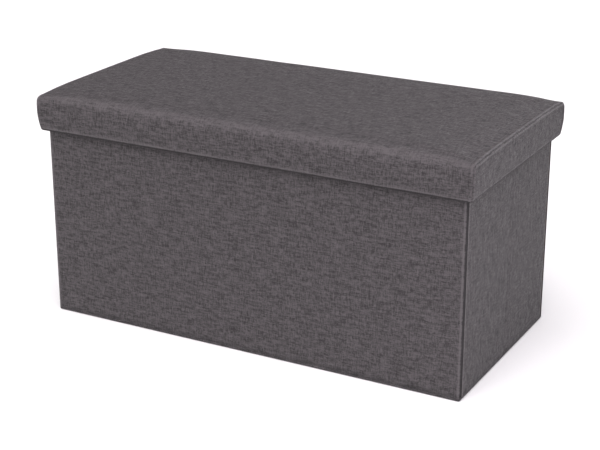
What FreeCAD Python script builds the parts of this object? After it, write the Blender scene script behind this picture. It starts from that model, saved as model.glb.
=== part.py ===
# Folding storage bench: a cloth-covered box on a cloth floor, with a padded lift-off lid.
# Units are millimetres. X runs along the bench, the front faces -Y and +Z is up.
# The origin is the centre of the footprint, on the floor.
#
# The box is a ring of six stiff panels: a back wall, a front wall and two ends, each end in
# two halves. Every panel is a board with a cloth cover outside and a thin lining inside. The
# cloth is the hinge at the four corners and at the middle of each end, so the ends fold
# inwards and the front wall travels back to the back wall. A thin base board lies on the
# cloth floor inside the ring and tips up against the back wall first. The lid lifts off.

import FreeCAD, Part
import os

os.makedirs("parts", exist_ok=True)

# Whole bench
length = 760.0
depth = 380.0
height = 380.0

# Lid
lid_height = 62.0
lid_overhang = 13.0
lid_cover = 1.2
lid_edge_radius = 12.0
skirt_wadding = 4.4
skirt_board = 2.6
skirt_lining = 0.8
top_board = 5.0
top_board_low = 348.2

# Wall panels
wall_cover = 1.0
wall_board = 4.0
wall_lining = 0.8
wall_low = 5.0
wall_top = 347.0
top_turn_in = 25.0
panel_gap = 0.4
crease_gap = 0.3

# Floor of the box
floor_cloth = 0.5
floor_rim_top = 4.6
base_board = 3.0
base_cloth = 0.4
base_low = 0.8
base_end_gap = 0.8
hinge_setback = 0.6
hinge_height = 0.2
base_reach = 341.0
hinge_tape = 0.5
hinge_tape_top = 25.0
hinge_tape_end_gap = 12.0

# Cloth hinges at the corners and creases of the ring
corner_setback = 5.5
crease_offset = 0.5

# Worked out
body_half_x = length / 2 - lid_overhang
body_half_y = depth / 2 - lid_overhang
wall = wall_cover + wall_board + wall_lining
inner_x = body_half_x - wall
inner_y = body_half_y - wall
skirt_low = height - lid_height


def box(x, y, z):
    """A block between the low and high value given for each axis."""
    corner = FreeCAD.Vector(x[0], y[0], z[0])
    return Part.makeBox(x[1] - x[0], y[1] - y[0], z[1] - z[0], corner)


def flip_x(shape):
    """The same piece at the other end of the bench."""
    return shape.mirror(FreeCAD.Vector(0, 0, 0), FreeCAD.Vector(1, 0, 0))


def flip_y(shape):
    """The same piece on the other side of the crease line."""
    return shape.mirror(FreeCAD.Vector(0, 0, 0), FreeCAD.Vector(0, 1, 0))


def save(shape, name):
    """Writes one node, after checking that it is one sound solid."""
    solids = shape.Solids
    if len(solids) != 1 or not solids[0].isValid():
        raise ValueError(name + " is not one valid solid")
    solids[0].exportStep("parts/" + name + ".step")


def long_wall(name, low):
    """A front or back panel over the whole length. It is drawn at the front; flip it for the back."""
    outer, inner = -body_half_y, -inner_y
    board_y = (outer + wall_cover, inner - wall_lining)
    board_x = body_half_x - wall_cover
    board_top = wall_top - wall_cover
    board = box((-board_x, board_x), board_y, (low, board_top))
    cover = box((-body_half_x, body_half_x), (outer, inner), (low, wall_top))
    cover = cover.cut(board)
    cover = cover.cut(box((-board_x, board_x), (board_y[1], inner), (low, wall_top - top_turn_in)))
    lining = box((-board_x, board_x), (board_y[1], inner), (low, wall_top - top_turn_in))
    return {name + "_board": board, name + "_cover": cover, name + "_lining": lining}


def end_half(name):
    """Half of an end, drawn at the left rear, between the back wall and the crease."""
    outer, inner = -body_half_x, -inner_x
    half_y = (crease_gap, inner_y - panel_gap)
    board_x = (outer + wall_cover, inner - wall_lining)
    board_y = (half_y[0] + wall_cover, half_y[1] - wall_cover)
    board_top = wall_top - wall_cover
    board = box(board_x, board_y, (wall_low, board_top))
    lining = box((board_x[1], inner), board_y, (wall_low, wall_top - top_turn_in))
    cover = box((outer, inner), half_y, (wall_low, wall_top)).cut(board).cut(lining)
    return {name + "_board": board, name + "_cover": cover, name + "_lining": lining}


def floor_pieces():
    """The cloth floor with its low rim, and the thin base board in its cloth sleeve."""
    cloth = box((-body_half_x, body_half_x), (-body_half_y, body_half_y), (0, floor_rim_top))
    well = box((-inner_x, inner_x), (-inner_y, inner_y), (floor_cloth, floor_rim_top))
    hinge_y = inner_y - hinge_setback
    sleeve_x = inner_x - base_end_gap
    sleeve_y = (hinge_y + hinge_height - base_reach, hinge_y - hinge_height)
    sleeve_z = (base_low, base_low + base_board + 2 * base_cloth)
    board_y = (sleeve_y[0] + base_cloth, sleeve_y[1] - base_cloth)
    board_z = (sleeve_z[0] + base_cloth, sleeve_z[1] - base_cloth)
    board = box((-sleeve_x, sleeve_x), board_y, board_z)
    sleeve = box((-sleeve_x, sleeve_x), sleeve_y, sleeve_z).cut(board)
    tape_x = inner_x - hinge_tape_end_gap
    tape = box((-tape_x, tape_x), (inner_y - hinge_tape, inner_y), (wall_low, hinge_tape_top))
    return {
        "bottom_cloth": cloth.cut(well),
        "base_board": board,
        "base_cover": sleeve,
        "base_hinge_tape": tape,
    }


def lid_profile(half_y, low, high, radius):
    """Solid over the whole length whose two long top edges are rounded."""
    solid = box((-length / 2, length / 2), (-half_y, half_y), (low, high))
    long_edges = []
    for edge in solid.Edges:
        centre = edge.CenterOfMass
        if abs(centre.z - high) < 0.01 and abs(centre.x) < 0.01:
            long_edges.append(edge)
    return solid.makeFillet(radius, long_edges)


def lid_pieces():
    """The lid: a shallow tray of boards, a foam pad, wadding, a three-piece cover and a lining."""
    core_x = length / 2 - lid_cover
    core_y = depth / 2 - lid_cover
    board_x = core_x - skirt_wadding
    board_y = core_y - skirt_wadding
    tray_x = board_x - skirt_board
    tray_y = board_y - skirt_board
    inside_x = tray_x - skirt_lining
    inside_y = tray_y - skirt_lining
    board_low = skirt_low + lid_cover
    board_high = top_board_low + top_board
    foam_high = height - lid_cover
    lining_low = top_board_low - skirt_lining

    whole = lid_profile(depth / 2, skirt_low, height, lid_edge_radius)
    core = lid_profile(core_y, board_low, foam_high, lid_edge_radius - lid_cover)
    mouth = box((-inside_x, inside_x), (-inside_y, inside_y), (skirt_low, lining_low))
    skin = whole.cut(core).cut(mouth)
    middle = box((-core_x, core_x), (-depth, depth), (skirt_low, height))
    end_zone = box((-length, -core_x), (-depth, depth), (skirt_low, height))
    end_cover = whole.common(end_zone)

    foam = core.common(box((-core_x, core_x), (-depth, depth), (board_high, foam_high)))
    wadding = box((-core_x, core_x), (-core_y, core_y), (board_low, board_high))
    wadding = wadding.cut(box((-board_x, board_x), (-board_y, board_y), (board_low, board_high)))
    top = box((-tray_x, tray_x), (-tray_y, tray_y), (top_board_low, board_high))
    side = box((-board_x, board_x), (-board_y, -tray_y), (board_low, board_high))
    end = box((-board_x, -tray_x), (-tray_y, tray_y), (board_low, board_high))
    tray = box((-tray_x, tray_x), (-tray_y, tray_y), (board_low, top_board_low))
    lining = tray.cut(box((-inside_x, inside_x), (-inside_y, inside_y), (board_low, lining_low)))
    return {
        "lid_board": top,
        "lid_foam": foam,
        "lid_skirt_wadding": wadding,
        "lid_top_cover": skin.common(middle),
        "lid_left_end_cover": end_cover,
        "lid_right_end_cover": flip_x(end_cover),
        "lid_front_skirt_board": side,
        "lid_back_skirt_board": flip_y(side),
        "lid_left_skirt_board": end,
        "lid_right_skirt_board": flip_x(end),
        "lid_lining": lining,
    }


nodes = {}
nodes.update(long_wall("front_wall", wall_low))
for name, shape in long_wall("back_wall", floor_rim_top).items():
    nodes[name] = flip_y(shape)
for name, shape in end_half("rear_end").items():
    nodes["left_" + name] = shape
    nodes["right_" + name] = flip_x(shape)
    front_name = name.replace("rear", "front")
    nodes["left_" + front_name] = flip_y(shape)
    nodes["right_" + front_name] = flip_x(flip_y(shape))
nodes.update(floor_pieces())
nodes.update(lid_pieces())

for name, shape in nodes.items():
    save(shape, name)

print("nodes", len(nodes))
print("corner hinges at x", inner_x, "y", inner_y - corner_setback)
print("crease hinges at x", body_half_x + crease_offset, "y", 0.0)
print("base hinge at y", inner_y - hinge_setback, "z", floor_rim_top + hinge_height)
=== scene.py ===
import math

import bmesh
import bpy
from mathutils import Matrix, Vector, noise
from mathutils.bvhtree import BVHTree


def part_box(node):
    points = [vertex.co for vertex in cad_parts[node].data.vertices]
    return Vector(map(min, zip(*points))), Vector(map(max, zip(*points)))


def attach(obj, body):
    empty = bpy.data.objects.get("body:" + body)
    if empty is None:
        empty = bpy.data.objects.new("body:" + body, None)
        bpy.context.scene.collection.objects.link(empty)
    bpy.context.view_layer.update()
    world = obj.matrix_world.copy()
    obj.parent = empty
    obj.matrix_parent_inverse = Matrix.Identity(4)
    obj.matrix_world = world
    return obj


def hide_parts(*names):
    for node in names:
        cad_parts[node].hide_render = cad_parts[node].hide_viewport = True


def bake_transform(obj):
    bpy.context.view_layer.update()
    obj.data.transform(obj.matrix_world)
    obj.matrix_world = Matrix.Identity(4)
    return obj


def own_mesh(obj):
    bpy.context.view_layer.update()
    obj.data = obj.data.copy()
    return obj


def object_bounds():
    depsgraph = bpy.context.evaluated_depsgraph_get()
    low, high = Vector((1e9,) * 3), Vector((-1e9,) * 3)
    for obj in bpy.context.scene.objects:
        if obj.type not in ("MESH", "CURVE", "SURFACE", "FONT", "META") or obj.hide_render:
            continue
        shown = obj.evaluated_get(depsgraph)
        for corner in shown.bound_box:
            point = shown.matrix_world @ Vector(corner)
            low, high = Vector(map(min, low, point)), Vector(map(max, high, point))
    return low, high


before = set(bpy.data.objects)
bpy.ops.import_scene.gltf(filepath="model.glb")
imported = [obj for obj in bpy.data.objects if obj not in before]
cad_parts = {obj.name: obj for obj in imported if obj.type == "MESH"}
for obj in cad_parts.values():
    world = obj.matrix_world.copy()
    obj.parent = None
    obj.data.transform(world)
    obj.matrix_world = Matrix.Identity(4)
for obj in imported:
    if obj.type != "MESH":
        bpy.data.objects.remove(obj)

cad_low, cad_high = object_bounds()


# ---------------------------------------------------------------------------------------------
# The studio. The bench stands on a matt white floor under a broad light high above, with a lower
# one in front, a panel off its right end and a weak low light behind. It is seen from its front
# right corner.

EYE_AZIMUTH = 28.35
EYE_ELEVATION = 20.4
EYE_DISTANCE = 2.513
EYE_TARGET = Vector((0.002, 0.0, 0.159))
EYE_LENS = 91.2
FLOOR_WHITE = (0.93, 0.93, 0.93)
FLOOR_RADIUS = 14.0
FLOOR_DROP = 0.0005
SURROUND_STRENGTH = 0.2


def way_to(azimuth, elevation):
    """The direction from the bench to something at this azimuth and elevation, in degrees."""
    a = math.radians(azimuth)
    e = math.radians(elevation)
    return Vector((math.sin(a) * math.cos(e), -math.cos(a) * math.cos(e), math.sin(e)))


def hang_light(name, kind, azimuth, elevation, power, tint, distance=3.0, **shape):
    """A light that faces the middle of the bench."""
    lamp = bpy.data.lights.new(name, kind)
    lamp.energy = power
    lamp.color = tint
    for setting, value in shape.items():
        setattr(lamp, setting, value)
    holder = bpy.data.objects.new(name, lamp)
    back = way_to(azimuth, elevation)
    holder.location = Vector((0, 0, cad_high.z / 2)) + back * distance
    holder.rotation_mode = "QUATERNION"
    holder.rotation_quaternion = (-back).to_track_quat("-Z", "Y")
    bpy.context.scene.collection.objects.link(holder)


def stand_camera():
    """The camera, at eye height off the front right corner."""
    lens = bpy.data.cameras.new("studio_camera")
    lens.lens = EYE_LENS
    camera = bpy.data.objects.new("studio_camera", lens)
    back = way_to(EYE_AZIMUTH, EYE_ELEVATION)
    camera.location = EYE_TARGET + back * EYE_DISTANCE
    camera.rotation_mode = "QUATERNION"
    camera.rotation_quaternion = (-back).to_track_quat("-Z", "Y")
    bpy.context.scene.collection.objects.link(camera)
    bpy.context.scene.camera = camera


def lay_floor():
    """A wide round floor, matt and nearly white."""
    mesh = bpy.data.meshes.new("studio_floor")
    disc = bmesh.new()
    bmesh.ops.create_circle(disc, cap_ends=True, segments=96, radius=FLOOR_RADIUS)
    disc.to_mesh(mesh)
    disc.free()
    floor = bpy.data.objects.new("studio_floor", mesh)
    floor.location.z = -FLOOR_DROP
    bpy.context.scene.collection.objects.link(floor)
    paint = bpy.data.materials.new("studio_floor")
    paint.use_nodes = True
    shader = paint.node_tree.nodes["Principled BSDF"]
    shader.inputs["Base Color"].default_value = (*FLOOR_WHITE, 1)
    shader.inputs["Roughness"].default_value = 0.9
    shader.inputs["Specular IOR Level"].default_value = 0.1
    mesh.materials.append(paint)


def light_studio():
    """White surroundings, two broad far lights, and two nearer square panels."""
    world = bpy.data.worlds.new("studio")
    world.use_nodes = True
    air = world.node_tree.nodes["Background"]
    air.inputs["Color"].default_value = (1.0, 1.0, 1.0, 1)
    air.inputs["Strength"].default_value = SURROUND_STRENGTH
    bpy.context.scene.world = world
    warm, cool = (1.0, 0.98, 0.93), (0.98, 0.92, 1.0)
    hang_light("high_light", "SUN", 4, 66, power=3.6, tint=(1.0, 0.96, 0.99), angle=1.2)
    hang_light("front_light", "AREA", -30, 24, power=2.8, tint=warm, distance=1.9, size=0.7)
    hang_light("end_panel", "AREA", 60, 20, power=2.4, tint=cool, distance=1.15, size=0.4)
    hang_light("rear_light", "SUN", 172, 12, power=1.1, tint=(1.0, 0.98, 1.0), angle=0.5)
    bpy.context.scene.view_settings.view_transform = "Standard"


stand_camera()
lay_floor()
light_studio()


# ---------------------------------------------------------------------------------------------
# Linen-look cloth. A plain weave of dark grey melange polyester: every yarn is spun from lighter
# and darker fibres and swells into slubs, so short streaks run both ways along the weave.
# Each piece stores its own place on the flat cloth, in metres, in an attribute called cloth,
# whose third value lightens or darkens the colour: above 0 it is painted highlight on ridges and
# edges, partly also rubbing, and below 0 it is painted shade in grooves and under the hem.

YARN_PITCH = 0.00068
LINEN_GREY = (0.0678, 0.0613, 0.0643)
DARKEST_FIBRE = 0.42
LIGHTEST_FIBRE = 1.58
LEVEL_FIBRE = (0.010, 0.0014)
UPRIGHT_FIBRE = (0.0014, 0.009)
LEVEL_SLUB = (0.026, 0.0042)
UPRIGHT_SLUB = (0.0032, 0.018)
FLECK = (0.0024, 0.0020)
FUZZ = (0.00028, 0.00028)
CLOUD = (0.03, 0.02)
LINEN_RELIEF = 0.0003


class Strand:
    """One socket of a material's node tree. Arithmetic on strands adds Math nodes."""

    def __init__(self, tree, socket=None):
        self.tree = tree
        self.socket = socket

    def add(self, kind, settings=None, inputs=None, output=0):
        """Any node: its settings first, then the values or links of its sockets."""
        node = self.tree.nodes.new(kind)
        for name, value in (settings or {}).items():
            setattr(node, name, value)
        for name, value in (inputs or {}).items():
            if isinstance(value, Strand):
                self.tree.links.new(value.socket, node.inputs[name])
            else:
                node.inputs[name].default_value = value
        return Strand(self.tree, node.outputs[output]) if len(node.outputs) else None

    def math(self, operation, *others):
        """A Math node on this strand and the others, in that order."""
        return self.worked_out(operation, self, *others)

    def worked_out(self, operation, *values):
        """A Math node on these strands and numbers, in this order."""
        return self.add("ShaderNodeMath", {"operation": operation}, dict(enumerate(values)))

    def __add__(self, other):
        return self.worked_out("ADD", self, other)

    def __radd__(self, other):
        return self.worked_out("ADD", other, self)

    def __sub__(self, other):
        return self.worked_out("SUBTRACT", self, other)

    def __rsub__(self, other):
        return self.worked_out("SUBTRACT", other, self)

    def __mul__(self, other):
        return self.worked_out("MULTIPLY", self, other)

    def __rmul__(self, other):
        return self.worked_out("MULTIPLY", other, self)


def new_finish(name):
    """An empty material and a strand to start its nodes from."""
    material = bpy.data.materials.new(name)
    material.use_nodes = True
    material.node_tree.nodes.clear()
    return material, Strand(material.node_tree)


def fibre_noise(place, size, shift, detail=1.0, roughness=0.5):
    """Soft noise from 0 to 1 whose patches have this size in metres, moved so no two match."""
    scale = tuple(1 / side for side in size) + (0,) * (3 - len(size))
    spot = place.add(
        "ShaderNodeVectorMath",
        {"operation": "MULTIPLY_ADD"},
        {0: place, 1: scale, 2: (shift, shift * 1.7, shift * 0.6)},
    )
    return place.add(
        "ShaderNodeTexNoise",
        {"noise_dimensions": f"{len(size)}D"},
        {"Vector": spot, "Scale": 1.0, "Detail": detail, "Roughness": roughness},
        "Fac",
    )


def mixed_colour(tone, dark, light):
    """The colour between dark and light, as the tone goes from 0 to 1."""
    return tone.add(
        "ShaderNodeMix", {"data_type": "RGBA"}, {0: tone, 6: (*dark, 1), 7: (*light, 1)}, 2
    )


def finish_surface(start, colour, roughness, height, lift, constants):
    """The shader and its bump; constants are the shader's fixed values."""
    normal = start.add(
        "ShaderNodeBump", {}, {"Height": height, "Distance": lift, "Strength": 1.0}, "Normal"
    )
    values = {"Base Color": colour, "Roughness": roughness, "Normal": normal}
    values.update(constants)
    shader = start.add("ShaderNodeBsdfPrincipled", {}, values)
    start.add("ShaderNodeOutputMaterial", {}, {"Surface": shader})


def linen_cloth(name, grey):
    """Dark melange linen-look cloth."""
    material, start = new_finish(name)
    place = start.add("ShaderNodeAttribute", {"attribute_name": "cloth"}, {}, "Vector")
    sides = [start.add("ShaderNodeSeparateXYZ", {}, {"Vector": place}, axis) for axis in "XY"]
    waves = [(side * (math.pi / YARN_PITCH)).math("SINE") for side in sides]
    crossing = waves[0] * waves[1]
    level_on_top = (crossing * 6 + 0.5).math("MINIMUM", 1.0).math("MAXIMUM", 0.0)
    dome = crossing.math("ABSOLUTE").math("POWER", 0.6)
    yarns = [((side * (1 / YARN_PITCH)).math("FLOOR") + 0.5) * YARN_PITCH for side in sides]
    level = start.add("ShaderNodeCombineXYZ", {}, {"X": sides[0], "Y": yarns[1]})
    upright = start.add("ShaderNodeCombineXYZ", {}, {"X": yarns[0], "Y": sides[1]})

    level_fibres = fibre_noise(level, LEVEL_FIBRE, shift=3.1, detail=2.0, roughness=0.65)
    upright_fibres = fibre_noise(upright, UPRIGHT_FIBRE, shift=7.7, detail=2.0, roughness=0.65)
    level_slubs = fibre_noise(level, LEVEL_SLUB, shift=11.3)
    upright_slubs = fibre_noise(upright, UPRIGHT_SLUB, shift=17.9)
    flecks = fibre_noise(place, FLECK, shift=23.5)
    fuzz = fibre_noise(place, FUZZ, shift=31.7)
    clouds = fibre_noise(place, CLOUD, shift=29.2)

    top_yarn = level_fibres * level_on_top + upright_fibres * (1 - level_on_top)
    streaks = (level_fibres + upright_fibres - 1.0) * 0.9 + (top_yarn - 0.5)
    slubs = (level_slubs * 1.2 + upright_slubs * 0.8 - 1.0) * 0.75
    mottle = (flecks - 0.5) * 0.45 + (clouds - 0.5) * 0.12 + (fuzz - 0.5) * 0.35
    # Painted shade between the yarns: darker where the weave dips between its crossings, lighter on
    # them.
    shade = (dome - 0.6) * 0.45
    # The third value of cloth: painted highlight on ridges and edges, partly rubbing, and painted
    # shade in grooves and under the hem.
    wear_and_painted_light = start.add("ShaderNodeSeparateXYZ", {}, {"Vector": place}, "Z")
    wear_and_painted_light_tone = wear_and_painted_light * (0.25 + top_yarn * 0.5)
    tone = streaks + slubs + mottle + shade + wear_and_painted_light_tone + 0.5
    dark = tuple(DARKEST_FIBRE * channel for channel in grey)
    light = tuple(LIGHTEST_FIBRE * channel for channel in grey)
    colour = mixed_colour(tone, dark, light)

    height = dome * 0.55 + (level_slubs + upright_slubs) * 0.5 + streaks * 0.5 + fuzz * 0.2
    fixed = {
        "Specular IOR Level": 0.26,
        "Sheen Weight": 0.03,
        "Sheen Roughness": 0.45,
        "Sheen Tint": (0.92, 0.90, 0.95, 1),
    }
    finish_surface(start, colour, 0.8 - 0.16 * tone, height, LINEN_RELIEF, fixed)
    return material


linen = linen_cloth("linen", LINEN_GREY)


# ---------------------------------------------------------------------------------------------
# Wall covers. One piece of linen cloth is stretched over each board of the box, turned over its
# upright and top edges and tucked in behind, where it is glued and stitched down. On the ends
# the cloth runs on across the crease, where it is the hinge between the two halves.

CLOTH_THICK = 0.0009
COVER_STEP = 0.008
ROLL_SHARE = 0.49
ROLL_PARTS = 4
LINE_GAP = 0.0004
FOOT_LAP = 0.0002
TURN_IN = 0.025
CREASE_DENT = 0.0007
CREASE_WIDE = 0.006
CREASE_LINES = (0.0008, 0.0016, 0.0025, 0.0035)
COVER_SWELL = 0.00025
COVER_RIPPLE = 0.00035
COVER_RIPPLE_SIZE = 0.09
TAUT_EDGE = 0.02
# Painted light on the covers' upright edges: a pale line along the ridge inside each edge, painted
# highlight and partly rubbing, and painted shade where the cloth turns back into the corner groove.
EDGE_WEAR_AND_HIGHLIGHT = 2.0
RIDGE_SET = 0.0032
RIDGE_SPREAD = 0.0013
RIDGE_LINES = (0.0034, 0.0041, 0.0049, 0.0058, 0.0070)
GROOVE_PAINTED_SHADE = 2.4
WALL_PAINTED_SHADE_FROM = 40
END_PAINTED_SHADE_FROM = 25
PAINTED_SHADE_OVER = 20
UP = Vector((0, 0, 1))

# A block that ends in an open edge is made this many rolls longer there, and cut off.
SPARE_ROLLS = 4

# Two places closer than a hair are the same place. Near allows for a rolled edge's facets.
HAIR = 1e-6
NEAR = 1e-4

# Which way each wall runs, and which way it faces.
WALL_SIDES = {
    "front_wall": (Vector((1, 0, 0)), Vector((0, -1, 0))),
    "back_wall": (Vector((-1, 0, 0)), Vector((0, 1, 0))),
    "left_end": (Vector((0, -1, 0)), Vector((-1, 0, 0))),
    "right_end": (Vector((0, 1, 0)), Vector((1, 0, 0))),
}


def lines_across(low, high, roll, step, extra=()):
    """Places of grid lines: close together over two rolled edges, even between them."""
    edge = [
        roll * (1 - math.tan(math.radians(45) * part / ROLL_PARTS))
        for part in range(ROLL_PARTS, -1, -1)
    ]
    inner = high - low - 2 * roll
    count = max(1, round(inner / step))
    places = [low + e for e in edge]
    places += [low + roll + inner * i / count for i in range(1, count)]
    places += [high - e for e in reversed(edge)]
    kept = [p for p in places if all(abs(p - e) > LINE_GAP for e in extra)]
    return sorted(set(kept) | set(extra))


def rolled_block(low, high, roll, step, extra=((), (), ())):
    """A closed block with rolled edges, as {corner: place} and its faces, in panel terms."""
    lines = [lines_across(low[k], high[k], roll, step, extra[k]) for k in range(3)]
    spots = {}
    faces = []

    def corner(across, depth, up):
        key = (round(across, 6), round(depth, 6), round(up, 6))
        if key not in spots:
            flat = Vector((across, depth, up))
            core = Vector([min(max(flat[k], low[k] + roll), high[k] - roll) for k in range(3)])
            out = flat - core
            spots[key] = core + out.normalized() * roll if out.length > 1e-9 else flat
        return key

    for axis in range(3):
        one, two = [k for k in range(3) if k != axis]
        for value in (low[axis], high[axis]):
            for a, b in zip(lines[one], lines[one][1:]):
                for c, d in zip(lines[two], lines[two][1:]):
                    ring = []
                    for first, second in ((a, c), (b, c), (b, d), (a, d)):
                        flat = [0, 0, 0]
                        flat[axis], flat[one], flat[two] = value, first, second
                        ring.append(corner(*flat))
                    faces.append(ring)
    return spots, faces


def cloth_piece(name, places, faces, cloth, material):
    """A mesh object from named places, with each point's place on the flat cloth."""
    order = {key: index for index, key in enumerate(places)}
    mesh = bpy.data.meshes.new(name)
    rings = [[order[key] for key in ring] for ring in faces]
    mesh.from_pydata([tuple(places[key]) for key in places], [], rings)
    flat = mesh.attributes.new("cloth", "FLOAT_VECTOR", "POINT")
    flat.data.foreach_set("vector", [c for key in places for c in (*cloth[key], 0.0)[:3]])
    mesh.materials.append(material)
    shaped = bmesh.new()
    shaped.from_mesh(mesh)
    loose = [v for v in shaped.verts if not v.link_faces]
    bmesh.ops.delete(shaped, geom=loose, context="VERTS")
    shaped.to_mesh(mesh)
    shaped.free()
    mesh.shade_smooth()
    piece = bpy.data.objects.new(name, mesh)
    bpy.context.scene.collection.objects.link(piece)
    return piece


def give_thickness(piece, thick, even=True):
    """Makes a single layer into cloth with two faces."""
    solid = piece.modifiers.new("cloth_thickness", "SOLIDIFY")
    solid.thickness = thick
    solid.offset = -1
    solid.use_even_offset = even


def core_of(low, high, roll):
    """The corners of a block's core, inside its rolled edges."""
    return Vector(low) + Vector((roll,) * 3), Vector(high) - Vector((roll,) * 3)


def facing_out(places, faces, middle):
    """Turns every face of a closed block so that it faces away from its inside."""
    turned = []
    for ring in faces:
        a, b, c = (places[key] for key in ring[:3])
        centre = sum((places[key] for key in ring), Vector()) / len(ring)
        inside = Vector([min(max(centre[k], middle[0][k]), middle[1][k]) for k in range(3)])
        outward = (b - a).cross(c - b).dot(centre - inside) > 0
        turned.append(ring if outward else ring[::-1])
    return turned


def ripple(place, size, height, seed):
    """A small, smooth swelling of the cloth, between minus and plus height."""
    return height * noise.noise(Vector((place[0] / size, place[1] / size, seed)))


def edge_wear_and_painted_light(across, depth, half, roll, shade_from, below_top):
    """Painted highlight along the ridge inside an upright edge, partly rubbing, and painted shade
    where the cloth turns back.
    """
    wear_and_painted_light = 0.0
    if depth < roll:
        inside_edge = half - abs(across) - RIDGE_SET
        wear_and_painted_light = EDGE_WEAR_AND_HIGHLIGHT * math.exp(-((inside_edge / RIDGE_SPREAD) ** 2))
    if below_top and abs(across) > half - roll:
        turned = 90
        if depth < roll:
            turned = math.degrees(math.atan2(abs(across) - half + roll, roll - depth))
        wear_and_painted_light -= GROOVE_PAINTED_SHADE * min(1.0, max(0.0, (turned - shade_from) / PAINTED_SHADE_OVER))
    return wear_and_painted_light


def wall_cover(side, *nodes):
    """The cover of one wall, or of both halves of an end, which is creased between them."""
    creased = len(nodes) == 2
    across, outward = WALL_SIDES[side]
    boxes = [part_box(node) for node in nodes]
    low = Vector([min(b[0][k] for b in boxes) for k in range(3)])
    high = Vector([max(b[1][k] for b in boxes) for k in range(3)])
    half = max(abs(high.dot(across)), abs(low.dot(across)))
    thick = abs((high - low).dot(outward))
    face = max(high.dot(outward), low.dot(outward))
    roll = thick * ROLL_SHARE
    shade_from = END_PAINTED_SHADE_FROM if creased else WALL_PAINTED_SHADE_FROM
    bottom = low.z - FOOT_LAP
    hem = high.z - TURN_IN
    crease_lines = tuple(sign * place for place in CREASE_LINES for sign in (-1, 1))
    ridge_lines = tuple(sign * (half - inset) for inset in RIDGE_LINES for sign in (-1, 1))
    extra = (ridge_lines + (crease_lines if creased else ()), (), (bottom, hem))
    lows = (-half, 0.0, bottom - SPARE_ROLLS * roll)
    highs = (half, thick, high.z)
    spots, faces = rolled_block(lows, highs, roll, COVER_STEP, extra)

    def kept(ring):
        along, deep, up = (sum(key[k] for key in ring) / len(ring) for k in range(3))
        if up < bottom:
            return False
        if deep > thick - HAIR and up < hem:
            return False
        inside = deep > HAIR
        return not (creased and inside and abs(along) < CREASE_LINES[0])

    places = {}
    cloth = {}
    for key, (along, deep, up) in spots.items():
        swell = 0.0
        if key[1] < HAIR:
            fade = max(0.0, min(1.0, (half - abs(along)) / TAUT_EDGE, (high.z - up) / TAUT_EDGE))
            swell = fade * (COVER_SWELL + ripple((along, up), COVER_RIPPLE_SIZE, COVER_RIPPLE, face))
            if creased:
                swell -= CREASE_DENT * math.exp(-((along / CREASE_WIDE) ** 2))
        places[key] = across * along + outward * (face - deep + swell) + UP * up
        behind = deep > thick - NEAR
        turned_in = behind and up > hem - NEAR
        wrapped = 2 * high.z + thick - key[2] if turned_in else up + deep
        on_side = abs(key[0]) > half - HAIR
        level = along + math.copysign(deep, along) if on_side else along
        on_top = key[2] > high.z - HAIR or behind
        # Painted highlight along the edge ridges and painted shade in the corner grooves.
        wear_and_painted_light = edge_wear_and_painted_light(along, deep, half, roll, shade_from, up < high.z - thick)
        flat = (level + half * 4 * face, wrapped if on_top else up)
        cloth[key] = (*(reversed(flat) if creased else flat), wear_and_painted_light)
    bounds = (-half + roll, face - thick + roll, bottom), (half - roll, face - roll, high.z - roll)
    core = [across * b[0] + outward * b[1] + UP * b[2] for b in bounds]
    middle = [Vector([min(core[0][k], core[1][k]) for k in range(3)])]
    middle.append(Vector([max(core[0][k], core[1][k]) for k in range(3)]))
    faces = facing_out(places, faces, middle)
    faces = [ring for ring in faces if kept(ring)]
    piece = cloth_piece(f"{side}_linen", places, faces, cloth, linen)
    give_thickness(piece, CLOTH_THICK, even=not creased)
    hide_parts(*nodes)
    2 * half + 2 * thick
    return piece


for wall in ("front_wall", "back_wall"):
    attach(wall_cover(wall, f"{wall}_cover"), wall)
for hand in ("left", "right"):
    end_cover = wall_cover(f"{hand}_end", f"{hand}_rear_end_cover", f"{hand}_front_end_cover")
    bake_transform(end_cover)


# ---------------------------------------------------------------------------------------------
# Black lining. Thin non-woven polypropylene, its fibres melted together at small points in a
# diamond pattern. It is glued to the inside of every wall board and tucked under the cover.

LINING_BLACK = (0.024, 0.024, 0.0255)
BOND_PITCH = 0.0021
LINING_THICK = 0.0005
LINING_STEP = 0.012
LINING_SLACK = 0.0003
LINING_RIPPLE = 0.00045
LINING_RIPPLE_SIZE = 0.045
LINING_RELIEF = 0.00022
SPUN_FIBRE = (0.0004, 0.003)
SCUFF = (0.05, 0.04)


def spun_lining(name, black):
    """Matt black non-woven cloth with shiny bond points."""
    material, start = new_finish(name)
    place = start.add("ShaderNodeAttribute", {"attribute_name": "cloth"}, {}, "Vector")
    turns = math.pi / BOND_PITCH
    sides = [start.add("ShaderNodeSeparateXYZ", {}, {"Vector": place}, axis) for axis in "XY"]
    slants = [(sides[0] + sides[1]) * turns, (sides[0] - sides[1]) * turns]
    points = slants[0].math("SINE") * slants[1].math("SINE")
    bonds = (points.math("ABSOLUTE") * 3.2 - 1.7).math("MAXIMUM", 0.0).math("MINIMUM", 1.0)
    fibres = fibre_noise(place, SPUN_FIBRE, shift=5.2, detail=3.0, roughness=0.7)
    scuffs = fibre_noise(place, SCUFF, shift=9.9)
    tone = fibres * 0.7 + scuffs * 0.3 - bonds * 0.15
    light = tuple(2.6 * channel for channel in black)
    colour = mixed_colour(tone, black, light)
    height = fibres * 0.5 - bonds
    fixed = {"Specular IOR Level": 0.5}
    finish_surface(start, colour, 0.72 - bonds * 0.3, height, LINING_RELIEF, fixed)
    return material


lining = spun_lining("lining", LINING_BLACK)


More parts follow.
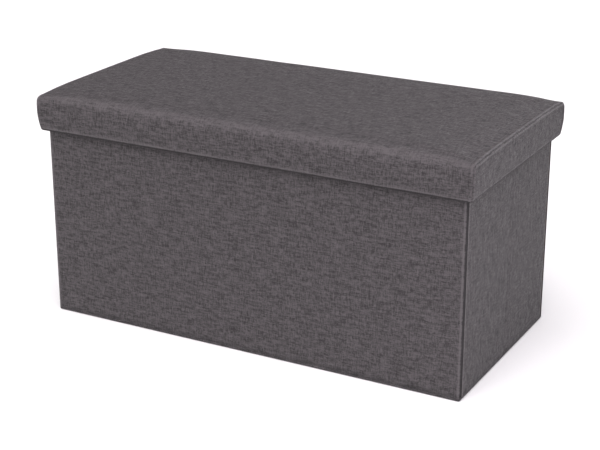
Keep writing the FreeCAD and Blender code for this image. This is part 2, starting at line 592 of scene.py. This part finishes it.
def grid_sheet(level, upright, columns, rows, spot_at):
    """A flat grid between two pairs of limits: its places, places on the cloth, and faces."""
    places, cloth, faces = {}, {}, []
    for i in range(columns + 1):
        for j in range(rows + 1):
            across = level[0] + (level[1] - level[0]) * i / columns
            up = upright[0] + (upright[1] - upright[0]) * j / rows
            places[i, j] = spot_at(i, j, across, up)
            cloth[i, j] = (across, up)
            if i < columns and j < rows:
                faces.append([(i, j), (i + 1, j), (i + 1, j + 1), (i, j + 1)])
    return places, cloth, faces


def lining_side(node):
    """A lining's thin and wide axes, which way along the thin one is inside, and its face there."""
    low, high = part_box(node)
    thin = min(range(2), key=lambda k: high[k] - low[k])
    inward = -1 if low[thin] + high[thin] > 0 else 1
    return thin, 1 - thin, inward, high[thin] if inward > 0 else low[thin]


def lining_sheet(node):
    """The thin sheet on the inside of one wall, soft between its glued places."""
    low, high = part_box(node)
    thin, wide, inward, face = lining_side(node)
    columns = round((high[wide] - low[wide]) / LINING_STEP)
    rows = round((high.z - low.z) / LINING_STEP)

    def spot_at(i, j, across, up):
        rim = min(i, columns - i, j, rows - j) / 2
        slack = ripple((across, up), LINING_RIPPLE_SIZE, LINING_RIPPLE, face * 9)
        spot = Vector((0, 0, up))
        spot[wide] = across
        spot[thin] = face + inward * min(LINING_SLACK, min(1.0, rim) * slack)
        return spot

    level, upright = (low[wide], high[wide]), (low.z, high.z)
    places, cloth, faces = grid_sheet(level, upright, columns, rows, spot_at)
    if (wide == 0) != (inward < 0):
        faces = [ring[::-1] for ring in faces]
    piece = cloth_piece(f"{node}_sheet", places, faces, cloth, lining)
    give_thickness(piece, LINING_THICK)
    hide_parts(node)
    return piece


WALL_BODIES = ["front_wall", "back_wall"]
WALL_BODIES += [f"{hand}_{half}_end" for hand in ("left", "right") for half in ("rear", "front")]
for body in WALL_BODIES:
    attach(lining_sheet(f"{body}_lining"), body)


# ---------------------------------------------------------------------------------------------
# Stitching. Grey polyester thread, sewn through the turned-in edge of every wall cover so that
# it stays down over the lining. Each stitch stands a little proud and sinks in at both ends.

THREAD_GREY = (0.085, 0.08, 0.084)
STITCH_PITCH = 0.0044
STITCH_LONG = 0.0032
STITCH_HIGH = 0.00042
STITCH_RINGS = 5
STITCH_SPOKES = 6
STITCH_IN_HEM = 0.005
TWIST_PITCH = 0.0009
THREAD_FUZZ = (0.0006, 0.0006)
THREAD_RELIEF = 0.00005
ROW_END_GAP = 0.002


def spun_thread(name, grey):
    """Twisted matt thread."""
    material, start = new_finish(name)
    place = start.add("ShaderNodeAttribute", {"attribute_name": "cloth"}, {}, "Vector")
    sides = [start.add("ShaderNodeSeparateXYZ", {}, {"Vector": place}, axis) for axis in "XY"]
    twist = ((sides[0] * 1.0 + sides[1] * 0.7) * (math.tau / TWIST_PITCH)).math("SINE")
    fuzz = fibre_noise(place, THREAD_FUZZ, shift=2.4)
    light = tuple(1.5 * channel for channel in grey)
    colour = mixed_colour(twist * 0.25 + fuzz * 0.5 + 0.1, grey, light)
    fixed = {"Specular IOR Level": 0.4}
    finish_surface(start, colour, 0.75 + fuzz * 0.1, twist, THREAD_RELIEF, fixed)
    return material


thread = spun_thread("thread", THREAD_GREY)


def stitch_row(start, end, out, places, faces, cloth):
    """Adds a straight row of stitches between two points on a surface that faces out."""
    run = end - start
    count = int(run.length / STITCH_PITCH)
    along = run.normalized()
    side = along.cross(out).normalized()
    gap = (run.length - (count - 1) * STITCH_PITCH) / 2
    for number in range(count):
        middle = start + along * (gap + number * STITCH_PITCH)
        base = len(places)
        for ring in range(STITCH_RINGS):
            share = ring / (STITCH_RINGS - 1)
            bulge = math.sin(math.pi * (0.06 + 0.88 * share)) ** 0.6
            for spoke in range(STITCH_SPOKES):
                turn = math.tau * spoke / STITCH_SPOKES
                lift = out * (STITCH_HIGH * (0.55 * math.sin(turn) + 0.35) * bulge)
                width = side * (STITCH_HIGH * 0.8 * math.cos(turn) * bulge)
                spot = middle + along * (STITCH_LONG * (share - 0.5)) + lift + width
                key = base + ring * STITCH_SPOKES + spoke
                places[key] = spot
                cloth[key] = (spot.x + spot.y, spot.z + spoke * 0.0003)
        for ring in range(STITCH_RINGS - 1):
            for spoke in range(STITCH_SPOKES):
                a = base + ring * STITCH_SPOKES + spoke
                b = base + ring * STITCH_SPOKES + (spoke + 1) % STITCH_SPOKES
                faces.append([a, b, b + STITCH_SPOKES, a + STITCH_SPOKES])
        last_ring = base + (STITCH_RINGS - 1) * STITCH_SPOKES
        faces.append([base + spoke for spoke in reversed(range(STITCH_SPOKES))])
        faces.append([last_ring + spoke for spoke in range(STITCH_SPOKES)])


def stitching(name, rows):
    """One piece holding several rows of stitches, each (start, end, out)."""
    places, faces, cloth = {}, [], {}
    for start, end, out in rows:
        stitch_row(Vector(start), Vector(end), Vector(out), places, faces, cloth)
    piece = cloth_piece(name, places, faces, cloth, thread)
    return piece


def hem_row(node, height):
    """A row along the inside of a wall at this height, from its lining's box."""
    low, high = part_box(node)
    thin, wide, inward, face = lining_side(node)
    ends = []
    for across in (low[wide] + ROW_END_GAP, high[wide] - ROW_END_GAP):
        spot = [0, 0, height]
        spot[wide] = across
        spot[thin] = face + inward * 0.0001
        ends.append(spot)
    out = [0, 0, 0]
    out[thin] = inward
    return (*ends, out)


for body in WALL_BODIES:
    hem_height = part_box(f"{body}_cover")[1].z - TURN_IN + STITCH_IN_HEM
    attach(stitching(f"{body}_hem_stitches", [hem_row(f"{body}_lining", hem_height)]), body)


# ---------------------------------------------------------------------------------------------
# Boards. Every wall, the base and the lid are stiffened by brown hardboard, which shows only at
# cut edges. The CAD boards are kept, with a pressed-fibre finish.

HARDBOARD_BROWN = (0.20, 0.115, 0.062)
HARDBOARD_GRAIN = 0.0012
GRAIN_PATCH = (0.03, 0.03, 0.03)


def broken_grain(name, shade, size, lift):
    """Pressed fibre or foam, with a fine broken grain of this size and relief."""
    material, start = new_finish(name)
    place = start.add("ShaderNodeNewGeometry", {}, {}, "Position")
    grain = fibre_noise(place, (size, size, size), shift=4.4, detail=4.0, roughness=0.65)
    patches = fibre_noise(place, GRAIN_PATCH, shift=8.1)
    dark = tuple(0.6 * channel for channel in shade)
    light = tuple(min(1.0, 1.5 * channel) for channel in shade)
    colour = mixed_colour(grain * 0.8 + patches * 0.3 - 0.05, dark, light)
    finish_surface(start, colour, 0.8 + grain * 0.1, grain, lift, {"Specular IOR Level": 0.3})
    return material


hardboard = broken_grain("hardboard", HARDBOARD_BROWN, HARDBOARD_GRAIN, lift=0.00008)
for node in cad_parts:
    if node.endswith("_board"):
        for held in bpy.data.objects[node].material_slots:
            held.material = hardboard


# ---------------------------------------------------------------------------------------------
# Floor of the box. A sheet of the black non-woven cloth with a low rim of linen, sewn to the
# walls all round. The bench stands on it.

RIM_ROLL = 0.0029
RIM_STEP = 0.02
RIM_HEM = 0.012
SHEET_LIFT = 0.0011
SHEET_RIPPLE = 0.0002
SHEET_RIPPLE_SIZE = 0.06
RIM_CRUMPLED = 0.015
SHEET_CRUMPLED = 0.1

floor_low, floor_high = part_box("bottom_cloth")


def floor_rim():
    """The turned-up linen edge round the bottom cloth, open above."""
    top = floor_high.z + FOOT_LAP
    lows = (floor_low.x, floor_low.y, 0.0)
    highs = (floor_high.x, floor_high.y, top + SPARE_ROLLS * RIM_ROLL)
    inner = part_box("left_rear_end_cover")[1].x
    inner_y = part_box("back_wall_cover")[0].y
    extra = ((inner, -inner), (-inner_y, inner_y), (top,))
    spots, faces = rolled_block(lows, highs, RIM_ROLL, RIM_STEP, extra)
    middle = core_of(lows, highs, RIM_ROLL)
    faces = facing_out(spots, faces, middle)
    kept = []
    for ring in faces:
        x, y, z = (sum(key[k] for key in ring) / len(ring) for k in range(3))
        under = z < HAIR and abs(x) < abs(inner) - RIM_HEM and abs(y) < inner_y - RIM_HEM
        if z < top and not under:
            kept.append(ring)
    cloth = {}
    for key in spots:
        on_end = abs(abs(key[0]) - floor_high.x) < HAIR
        cloth[key] = (key[1] if on_end else key[0], key[2])
    piece = cloth_piece("floor_rim_linen", spots, kept, cloth, linen)
    give_thickness(piece, CLOTH_THICK)
    return piece


def floor_sheet():
    """The black sheet itself, lying on the floor inside the rim's hem."""
    low = floor_low + Vector((RIM_HEM, RIM_HEM, 0))
    high = floor_high - Vector((RIM_HEM, RIM_HEM, 0))

    def spot_at(i, j, x, y):
        return Vector((x, y, SHEET_LIFT + ripple((x, y), SHEET_RIPPLE_SIZE, SHEET_RIPPLE, 2.0)))

    places, cloth, faces = grid_sheet((low.x, high.x), (low.y, high.y), 60, 30, spot_at)
    piece = cloth_piece("floor_cloth_sheet", places, faces, cloth, lining)
    give_thickness(piece, LINING_THICK)
    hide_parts("bottom_cloth")
    return piece


for crumpling, kept_deep in ((floor_rim(), RIM_CRUMPLED), (floor_sheet(), SHEET_CRUMPLED)):
    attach(crumpling, "back_wall")
    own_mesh(crumpling)


# ---------------------------------------------------------------------------------------------
# Base board sleeve. The thin base board is sewn into a flat sleeve of the black non-woven
# cloth, stitched close to its edge, and a cloth tape joins its rear edge to the back wall.

SLEEVE_SOFT = 0.00012
SLEEVE_FIRM_EDGE = 0.006
SLEEVE_STITCH_IN = 0.007
SLEEVE_STITCH_SUNK = 0.00015
TAPE_THICK = 0.0004
TAPE_EDGE_SUNK = 0.00012
TAPE_STITCH_LOW = 0.004
TAPE_STITCH_HIGH = 0.003
TAPE_STITCH_SUNK = 0.0003


def base_sleeve():
    """The closed sleeve, with soft rolled edges."""
    low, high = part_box("base_cover")
    roll = (high.z - low.z) * ROLL_SHARE
    spots, faces = rolled_block(low, high, roll, LINING_STEP)
    faces = facing_out(spots, faces, core_of(low, high, roll))
    places, cloth = {}, {}
    for key, spot in spots.items():
        top = key[2] > high.z - HAIR
        from_side = (high.y - low.y) / 2 - abs(spot.y - (low.y + high.y) / 2)
        edge = min(high.x - abs(spot.x), from_side)
        soft = SLEEVE_SOFT + ripple(spot, 0.05, SLEEVE_SOFT, 4.0)
        places[key] = spot - UP * (soft if top and edge > SLEEVE_FIRM_EDGE else 0.0)
        cloth[key] = (key[0], key[1] + key[2])
    piece = cloth_piece("base_sleeve", places, faces, cloth, lining)
    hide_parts("base_cover")
    return piece


def rows_round(corners, height, outs):
    """Rows of stitches from corner to corner at one height, each with its way out."""
    ahead = corners[1:] + corners[:1]
    return [((*one, height), (*two, height), out) for one, two, out in zip(corners, ahead, outs)]


def base_stitches():
    """A row round the top of the sleeve, a little in from its edge."""
    low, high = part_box("base_cover")
    x = high.x - SLEEVE_STITCH_IN
    front, rear = low.y + SLEEVE_STITCH_IN, high.y - SLEEVE_STITCH_IN
    corners = [(-x, front), (x, front), (x, rear), (-x, rear)]
    rows = rows_round(corners, high.z - SLEEVE_STITCH_SUNK, [(0, 0, 1)] * 4)
    return stitching("base_sleeve_stitches", rows)


def hinge_tape():
    """The flat tape along the foot of the back wall."""
    low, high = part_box("base_hinge_tape")
    rows = 4

    def spot_at(i, j, x, z):
        return Vector((x, low.y + TAPE_EDGE_SUNK * (j in (0, rows)), z))

    places, cloth, faces = grid_sheet((low.x, high.x), (low.z, high.z), 90, rows, spot_at)
    piece = cloth_piece("base_hinge_tape_cloth", places, faces, cloth, linen)
    give_thickness(piece, TAPE_THICK)
    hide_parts("base_hinge_tape")
    return piece


def tape_stitches():
    """Two rows through the tape into the back wall."""
    low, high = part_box("base_hinge_tape")
    sunk = low.y + TAPE_STITCH_SUNK
    heights = (low.z + TAPE_STITCH_LOW, high.z - TAPE_STITCH_HIGH)
    rows = [((low.x, sunk, z), (high.x, sunk, z), (0, -1, 0)) for z in heights]
    return stitching("base_hinge_tape_stitches", rows)


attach(base_sleeve(), "base")
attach(base_stitches(), "base")
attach(hinge_tape(), "back_wall")
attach(tape_stitches(), "back_wall")


# ---------------------------------------------------------------------------------------------
# Lid pad. A slab of soft foam lies on the lid board under the cover. Cut a little small with
# round edges, it is let swell under its cover, held below where it is glued to the board.

FOAM_CREAM = (0.72, 0.68, 0.52)
FOAM_GRAIN = 0.0016
PAD_INSET = 0.003
PAD_SHY = 0.001
PAD_ROLL = 0.008
PAD_STEP = 0.02
PAD_VOXEL = 0.006
PAD_PRESSURE = 4.0
PAD_FRAMES = 20
PAD_SWELL = 0.0028
END_EASE = 0.0018
END_EASE_REACH = 0.040
CORNER_EASE = 0.0030
CORNER_EASE_REACH = 0.050

foam = broken_grain("foam", FOAM_CREAM, FOAM_GRAIN, lift=0.0004)
lid_low = Vector(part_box("lid_left_end_cover")[0])
lid_high = Vector(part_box("lid_right_end_cover")[1])


def slab_of_foam():
    """The pad as cut, remeshed evenly so that it can swell."""
    low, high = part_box("lid_foam")
    inset = Vector((PAD_INSET, PAD_INSET, 0))
    low, high = low + inset, high - inset - UP * PAD_SHY
    spots, faces = rolled_block(low, high, PAD_ROLL, PAD_STEP)
    faces = facing_out(spots, faces, core_of(low, high, PAD_ROLL))
    cloth = {key: (key[0], key[1]) for key in spots}
    piece = cloth_piece("lid_foam_pad", spots, faces, cloth, foam)
    even = piece.modifiers.new("even_mesh", "REMESH")
    even.mode = "VOXEL"
    even.voxel_size = PAD_VOXEL
    settle(piece)
    return piece, low, high


def settle(piece):
    """Applies a piece's modifiers."""
    made = piece.evaluated_get(bpy.context.evaluated_depsgraph_get())
    old = piece.data
    piece.data = bpy.data.meshes.new_from_object(made)
    piece.data.name = piece.name
    piece.modifiers.clear()
    bpy.data.meshes.remove(old)
    piece.data.shade_smooth()


def swell(piece, low):
    """Lets the pad swell as cloth under pressure, then holds each point near where it was."""
    before = [vertex.co.copy() for vertex in piece.data.vertices]
    held = piece.vertex_groups.new(name="glued")
    held.add([i for i, spot in enumerate(before) if spot.z < low.z + PAD_VOXEL], 1.0, "REPLACE")
    cloth = piece.modifiers.new("swell", "CLOTH")
    cloth.settings.vertex_group_mass = "glued"
    cloth.settings.use_pressure = True
    cloth.settings.uniform_pressure_force = PAD_PRESSURE
    cloth.settings.effector_weights.gravity = 0
    cloth.collision_settings.use_collision = False
    cloth.point_cache.frame_end = PAD_FRAMES
    for frame_number in range(1, PAD_FRAMES + 1):
        bpy.context.scene.frame_set(frame_number)
    settle(piece)
    bpy.context.scene.frame_set(1)
    piece.vertex_groups.clear()
    for vertex, start in zip(piece.data.vertices, before):
        moved = vertex.co - start
        reach = PAD_SWELL * (1 - math.exp(-moved.length / PAD_SWELL))
        vertex.co = start + moved.normalized() * reach


def ease(spot, foot):
    """How far the stuffing gives way here, under the end seams and most at the corners."""
    from_end = max(0.0, lid_high.x - abs(spot.x))
    from_edge = max(0.0, lid_high.y - abs(spot.y))
    end = END_EASE * math.exp(-((from_end / END_EASE_REACH) ** 2))
    near = math.hypot(from_end, from_edge) / CORNER_EASE_REACH
    share = min(1.0, max(0.0, (spot.z - foot) / (lid_high.z - foot)))
    return (end + CORNER_EASE * math.exp(-(near**2))) * share


pad, pad_low, pad_high = slab_of_foam()
swell(pad, pad_low)
pad_surface = BVHTree.FromObject(pad, bpy.context.evaluated_depsgraph_get())
for vertex in pad.data.vertices:
    vertex.co.z -= ease(vertex.co, pad_low.z)
pad.data.materials.clear()
pad.data.materials.append(foam)
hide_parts("lid_foam")
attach(pad, "lid")


# ---------------------------------------------------------------------------------------------
# Lid cover. Three pieces of linen: one strip that is the front skirt, the top and the back
# skirt, and an end piece sewn on at each end. The seams stand up as two soft ridges with a
# groove between, gather a little at the corners, and the skirts lean in to a turned-in hem.

LID_EDGE = 0.0155
CORNER_EDGE = 0.010
CORNER_REACH = 0.045
HEM_ROLL = 0.00295
HEM_LEAN = 0.003
HEM_TURN_IN = 0.014
HEM_CLOTH = HEM_TURN_IN + 3 * HEM_ROLL
HEM_SHORT = 0.0012
HEM_ROWS = 3
HEM_ROLL_ROWS = 9
# Painted light at the hem: a painted highlight just above its roll, partly rubbing, and painted
# shade where the roll turns under; weaker on the end pieces.
HEM_WEAR_AND_HIGHLIGHT = 1.1
HEM_HIGHLIGHT_AT = 0.0019
HEM_HIGHLIGHT_REACH = 0.0016
END_HEM_SHARE = 0.6
SKIRT_BOW = 0.0007
SKIRT_ROWS = 12
FIRST_SHARES = [0.012, 0.04]
# Painted highlight along the lid's rounded front and back edges.
EDGE_PAINTED_HIGHLIGHT = 0.75
EDGE_HIGHLIGHT_REACH = 0.010
SEAM_ROLL = 0.0017
SEAM_SET = 0.0028
SEAM_FROM = -25
SEAM_TURN = 115
SEAM_STEPS = 7
SEAM_LINES = (0.0034, 0.0042, 0.0051, 0.0062, 0.0080)
# Painted light at the seams: painted highlight on the ridges, partly rubbing, and painted shade down
# in the groove and where the hem's roll turns under.
SEAM_WEAR_AND_HIGHLIGHT = 1.2
SEAM_HIGHLIGHT_REACH = 0.0018
SEAM_SIDE_SHARE = 0.45
SEAM_GROOVE = 0.0012
GROOVE_SHADE_REACH = 0.0024
TURNED_PAINTED_SHADE = 1.8
RIDGE_HIGH = 0.0010
RIDGE_WIDE = 0.0016
RIDGE_IN = 0.0038
GATHER_STEP = 0.0035
GATHER_PITCH = 0.0065
GATHER_START = 0.004
GATHER_REACH = 0.016
GATHER_LONG = 0.03
STRIP_GATHER = 0.0002
STRIP_BEND_GATHER = 0.0026
STRIP_BEND_REACH = 0.02
END_GATHER = 0.0003
END_CORNER_GATHER = 0.0009
END_CORNER_REACH = 0.03
RIDGE_LOST = 0.8
STRIP_RIPPLE = 0.00045
STRIP_RIPPLE_SIZE = 0.085
END_RIPPLE = 0.0004
END_RIPPLE_SIZE = 0.07
LID_STEP = 0.008
LID_CLOTH_THICK = 0.001
ARC_PARTS = 8


def seam_lines():
    """(distance in from the corner, height) where the cloth rolls over into the seam."""
    lines = []
    for part in range(SEAM_STEPS + 1):
        turn = math.radians(SEAM_FROM + SEAM_TURN * part / SEAM_STEPS)
        distance = SEAM_SET - SEAM_ROLL * math.cos(turn)
        lines.append((distance, -SEAM_ROLL + SEAM_ROLL * math.sin(turn)))
    return lines + [(distance, 0.0) for distance in SEAM_LINES]


def seam_ridge(distance):
    """How far the folded edges under the seam lift the cloth."""
    if distance < SEAM_GROOVE:
        return 0.0
    return RIDGE_HIGH * math.exp(-(((distance - RIDGE_IN) / RIDGE_WIDE) ** 2))


def seam_wear_and_painted_light(distance, strength):
    """Painted highlight along the ridge, partly rubbing, and painted shade down in the groove."""
    ridge_highlight = math.exp(-(((distance - SEAM_LINES[0]) / SEAM_HIGHLIGHT_REACH) ** 2))
    deep = max(0.0, 1 - distance / GROOVE_SHADE_REACH)
    return strength * (SEAM_WEAR_AND_HIGHLIGHT * ridge_highlight - TURNED_PAINTED_SHADE * deep)


def hem_wear_and_painted_light(out, up):
    """Painted highlight just above the hem's roll, partly rubbing, and painted shade where the roll
    turns under.
    """
    above = up - lid_low.z - HEM_ROLL
    if out < -HEM_LEAN - HEM_ROLL:
        return 0.0
    if above < NEAR:
        return -TURNED_PAINTED_SHADE
    return HEM_WEAR_AND_HIGHLIGHT * math.exp(-(((above - HEM_HIGHLIGHT_AT) / HEM_HIGHLIGHT_REACH) ** 2))


def gathers(distance, along, seed, strength):
    """Small puckers that run in from a seam and die away."""
    reach = math.exp(-distance / GATHER_REACH) * (1 - math.exp(-distance / GATHER_START))
    spot = Vector((along / GATHER_PITCH, seed, distance / GATHER_LONG))
    return strength * reach * noise.noise(spot)


def skirt_section(edge):
    """The skirt from the top of its turned-in hem to where the upper edge rolls: (out, up)."""
    foot = lid_low.z + HEM_ROLL
    inside = -HEM_LEAN - 2 * HEM_ROLL
    section = [(inside, foot + HEM_TURN_IN * (1 - row / HEM_ROWS)) for row in range(HEM_ROWS)]
    for row in range(HEM_ROLL_ROWS):
        turn = math.radians(180 + 180 * row / (HEM_ROLL_ROWS - 1))
        out = -HEM_LEAN - HEM_ROLL + HEM_ROLL * math.cos(turn)
        section.append((out, foot + HEM_ROLL * math.sin(turn)))
    rise = lid_high.z - edge - foot
    for share in FIRST_SHARES + [row / SKIRT_ROWS for row in range(1, SKIRT_ROWS + 1)]:
        lean = -HEM_LEAN * (1 - share) ** 2 + SKIRT_BOW * math.sin(math.pi * share)
        section.append((lean, foot + rise * share))
    return section


def strip_profile(edge):
    """Front hem, over the top, to the back hem: (y, z, lean) of every line across the strip."""
    half = lid_high.y
    front = [(-(half + out), up, out) for out, up in skirt_section(edge)]
    for part in range(1, ARC_PARTS + 1):
        turn = math.radians(180 - 90 * part / ARC_PARTS)
        y = -(half - edge) + edge * math.cos(turn)
        front.append((y, lid_high.z - edge + edge * math.sin(turn), 0.0))
    flat = half - edge
    count = round(half / GATHER_STEP)
    top = [(-flat + flat * part / count, lid_high.z, 0.0) for part in range(1, count + 1)]
    first = front + top
    return first + [(-y, z, lean) for y, z, lean in reversed(first[:-1])]


def columns_across(half, step):
    """(place, seam distance, seam height) across a lid piece of this half width."""
    edge = seam_lines()
    inner = half - edge[-1][0]
    count = round(2 * inner / step)
    left = [(-half + distance, distance, high) for distance, high in edge]
    between = [-inner + 2 * inner * part / count for part in range(1, count)]
    middle = [(place, half - abs(place), 0.0) for place in between]
    right = [(-place, distance, high) for place, distance, high in reversed(left)]
    return left + middle + right


def lengths_along(profile):
    """How far along the cloth each point of a profile is."""
    lengths = [0.0]
    for one, two in zip(profile, profile[1:]):
        lengths.append(lengths[-1] + math.hypot(two[0] - one[0], two[1] - one[1]))
    return lengths


def pad_rise(x, y):
    """How far the swollen pad lifts the cover here."""
    spot = pad_surface.ray_cast(Vector((x, y, 1.0)), -UP)[0]
    return max(0.0, spot.z - pad_high.z) if spot else 0.0


def strip_rise(high, place, distance, along, bend):
    """How far the seam, its gathers and the cloth's slack lift the strip off its profile."""
    rise = high + seam_ridge(distance) * (1 - RIDGE_LOST * bend)
    strength = STRIP_GATHER + STRIP_BEND_GATHER * bend
    rise += gathers(distance, along, 3.0 + math.copysign(2, place), strength)
    slack = ripple((place, along), STRIP_RIPPLE_SIZE, STRIP_RIPPLE, 6.0)
    return rise + slack * min(1, distance / TAUT_EDGE)


def lid_strip():
    """Front skirt, top and back skirt, in one piece."""
    lengths = lengths_along(strip_profile(LID_EDGE))
    columns = columns_across(lid_high.x, LID_STEP)
    last = len(lengths) - 1
    skirt_rows = len(skirt_section(LID_EDGE))
    bends = [lengths[skirt_rows + ARC_PARTS // 2], lengths[last - skirt_rows - ARC_PARTS // 2]]
    hem_reach = (lid_high.x - HEM_SHORT) / columns[-1][0]
    places, cloth, faces = {}, {}, []
    for i, (place, distance, high) in enumerate(columns):
        tighter = math.exp(-((distance / CORNER_REACH) ** 2))
        profile = strip_profile(LID_EDGE + (CORNER_EDGE - LID_EDGE) * tighter)
        for j, (y, z, lean) in enumerate(profile):
            before, after = profile[max(0, j - 1)], profile[min(last, j + 1)]
            tangent = Vector((0, after[0] - before[0], after[1] - before[1])).normalized()
            out = Vector((0, -tangent.z, tangent.y))
            along = lengths[j]
            hem = min(along, lengths[last] - along) < HEM_CLOTH
            x = place * (1 + lean / lid_high.x) * (hem_reach if hem else 1)
            rise = high
            if not hem:
                nearest = min(abs(along - spot) for spot in bends)
                bend = math.exp(-((nearest / STRIP_BEND_REACH) ** 2))
                rise = strip_rise(high, place, distance, along, bend)
            if z > lid_high.z - HAIR:
                rise += pad_rise(x, y)
            spot = Vector((x, y, z)) + out * rise
            places[i, j] = spot - UP * ease(spot, lid_low.z)
            # Painted shade under the hem's roll and a painted highlight just above it, partly
            # rubbing.
            wear_and_painted_light = hem_wear_and_painted_light(lean, z)
            if not hem:
                on_top = z > lid_high.z - LID_EDGE
                # Painted highlight on the seam ridges, partly rubbing, and painted shade in the
                # groove.
                wear_and_painted_light += seam_wear_and_painted_light(distance, 1.0 if on_top else SEAM_SIDE_SHARE)
                # Painted highlight along the rounded front and back edges.
                wear_and_painted_light += EDGE_PAINTED_HIGHLIGHT * math.exp(-((nearest / EDGE_HIGHLIGHT_REACH) ** 2))
            cloth[i, j] = (place, along + 2.0, wear_and_painted_light)
            if i < len(columns) - 1 and j < last:
                faces.append([(i, j), (i + 1, j), (i + 1, j + 1), (i, j + 1)])
    piece = cloth_piece("lid_strip_linen", places, faces, cloth, linen)
    give_thickness(piece, LID_CLOTH_THICK, even=False)
    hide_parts("lid_top_cover", "lid_skirt_wadding")
    return piece


def rounded_corner(place, up, distance, below_top):
    """Where a point of an end piece goes when its two upper corners are rounded: (y, z)."""
    if distance >= CORNER_EDGE or below_top >= CORNER_EDGE:
        return place, up
    corner = Vector((CORNER_EDGE - distance, CORNER_EDGE - below_top))
    share = max(corner) / corner.length
    y = math.copysign(lid_high.y - CORNER_EDGE + corner.x * share, place)
    return y, lid_high.z - CORNER_EDGE + corner.y * share


def lid_end(hand, side):
    """The piece that closes one end, its upper corners rounded to follow the strip."""
    section = skirt_section(CORNER_EDGE)
    rows = [(up, lean) for lean, up in section]
    edge = [(distance, high) for distance, high in seam_lines() if distance < CORNER_EDGE]
    rows += [(lid_high.z - distance, 0.0) for distance, _ in reversed(edge)]
    rises = dict((round(distance, 7), high) for distance, high in edge)
    lengths = lengths_along([(lean, up) for up, lean in rows])
    columns = columns_across(lid_high.y, GATHER_STEP)
    hem_rows = HEM_ROWS + HEM_ROLL_ROWS
    hem_reach = (lid_high.y - HEM_SHORT) / columns[-1][0]
    places, cloth, faces = {}, {}, []
    for j, (up, lean) in enumerate(rows):
        below_top = lid_high.z - up
        for i, (place, distance, high) in enumerate(columns):
            y, z = rounded_corner(place, up, distance, below_top)
            nearest = min(distance, below_top)
            if nearest == below_top:
                high = rises.get(round(below_top, 7), 0.0)
            if j < hem_rows:
                before, after = section[max(0, j - 1)], section[j + 1]
                tangent = Vector((after[0] - before[0], after[1] - before[1])).normalized()
                out = lean + high * tangent.y
                z -= high * tangent.x
            else:
                at_corner = math.exp(-(Vector((distance, below_top)).length / END_CORNER_REACH))
                strength = END_GATHER + END_CORNER_GATHER * at_corner
                slack = ripple((place, up), END_RIPPLE_SIZE, END_RIPPLE, 5.0 + side)
                out = lean + high + seam_ridge(nearest)
                out += gathers(nearest, y + z, 9.0 + side, strength)
                out += slack * min(1, nearest / TAUT_EDGE)
            x = side * (lid_high.x + out)
            y *= (1 + lean / lid_high.y) * (hem_reach if j < hem_rows else 1)
            spot = Vector((x, y, z))
            places[i, j] = spot - UP * ease(spot, lid_low.z)
            # Painted shade under the hem's roll and a painted highlight above it, weaker on the
            # ends.
            wear_and_painted_light = hem_wear_and_painted_light(lean, up) * END_HEM_SHARE
            if j >= hem_rows:
                # Painted highlight on the seam ridges, partly rubbing, and painted shade in the
                # groove.
                wear_and_painted_light += seam_wear_and_painted_light(nearest, 1.0 if nearest == below_top else SEAM_SIDE_SHARE)
            cloth[i, j] = (lengths[j] + 5.0, place + 3.0 * side, wear_and_painted_light)
            if i < len(columns) - 1 and j < len(rows) - 1:
                ring = [(i, j), (i + 1, j), (i + 1, j + 1), (i, j + 1)]
                faces.append(ring if side > 0 else ring[::-1])
    piece = cloth_piece(f"lid_{hand}_end_linen", places, faces, cloth, linen)
    give_thickness(piece, LID_CLOTH_THICK, even=False)
    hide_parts(f"lid_{hand}_end_cover")
    return piece


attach(lid_strip(), "lid")
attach(lid_end("left", -1), "lid")
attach(lid_end("right", 1), "lid")


# ---------------------------------------------------------------------------------------------
# Lid lining. A tray of the black non-woven cloth, glued up inside the lid, with the cover's
# hem stitched down over its lower edge.

TRAY_GAP = 0.0008
TRAY_ROLL = 0.004
TRAY_FOOT = 0.004
TRAY_SAG = 0.00035
TRAY_SAG_SIZE = 0.06
HEM_STITCH_DOWN = 0.004


def lid_lining():
    """The tray, open below, its corners softly rolled."""
    low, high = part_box("lid_lining")
    inner_low = low + Vector((TRAY_GAP, TRAY_GAP, 0))
    inner_high = high - Vector((TRAY_GAP, TRAY_GAP, TRAY_GAP))
    lows = (inner_low.x, inner_low.y, low.z - SPARE_ROLLS * TRAY_ROLL)
    foot = low.z + TRAY_FOOT
    spots, faces = rolled_block(lows, inner_high, TRAY_ROLL, LINING_STEP, ((), (), (foot,)))
    faces = facing_out(spots, faces, core_of(lows, inner_high, TRAY_ROLL))
    kept = [ring[::-1] for ring in faces if sum(key[2] for key in ring) / len(ring) > foot]
    places, cloth = {}, {}
    for key, spot in spots.items():
        sag = TRAY_SAG + ripple(spot, TRAY_SAG_SIZE, TRAY_SAG, 3.0)
        ceiling = key[2] > inner_high.z - HAIR
        places[key] = spot - UP * (min(LINING_SLACK, sag) if ceiling else 0.0)
        cloth[key] = (key[0] + (0 if ceiling else key[2]), key[1] + key[2])
    piece = cloth_piece("lid_lining_sheet", places, kept, cloth, lining)
    give_thickness(piece, LINING_THICK)
    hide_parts("lid_lining")
    return piece


def lid_hem_stitches():
    """A row round the inside of the skirt, through the turned-in hem."""
    inside = HEM_LEAN + 2 * HEM_ROLL
    x, y = lid_high.x - inside, lid_high.y - inside
    z = lid_low.z + HEM_ROLL + HEM_TURN_IN - HEM_STITCH_DOWN
    corners = [(-x, -y), (x, -y), (x, y), (-x, y)]
    inward = [(0, 1, 0), (-1, 0, 0), (0, -1, 0), (1, 0, 0)]
    return stitching("lid_hem_stitches", rows_round(corners, z, inward))


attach(lid_lining(), "lid")
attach(lid_hem_stitches(), "lid")
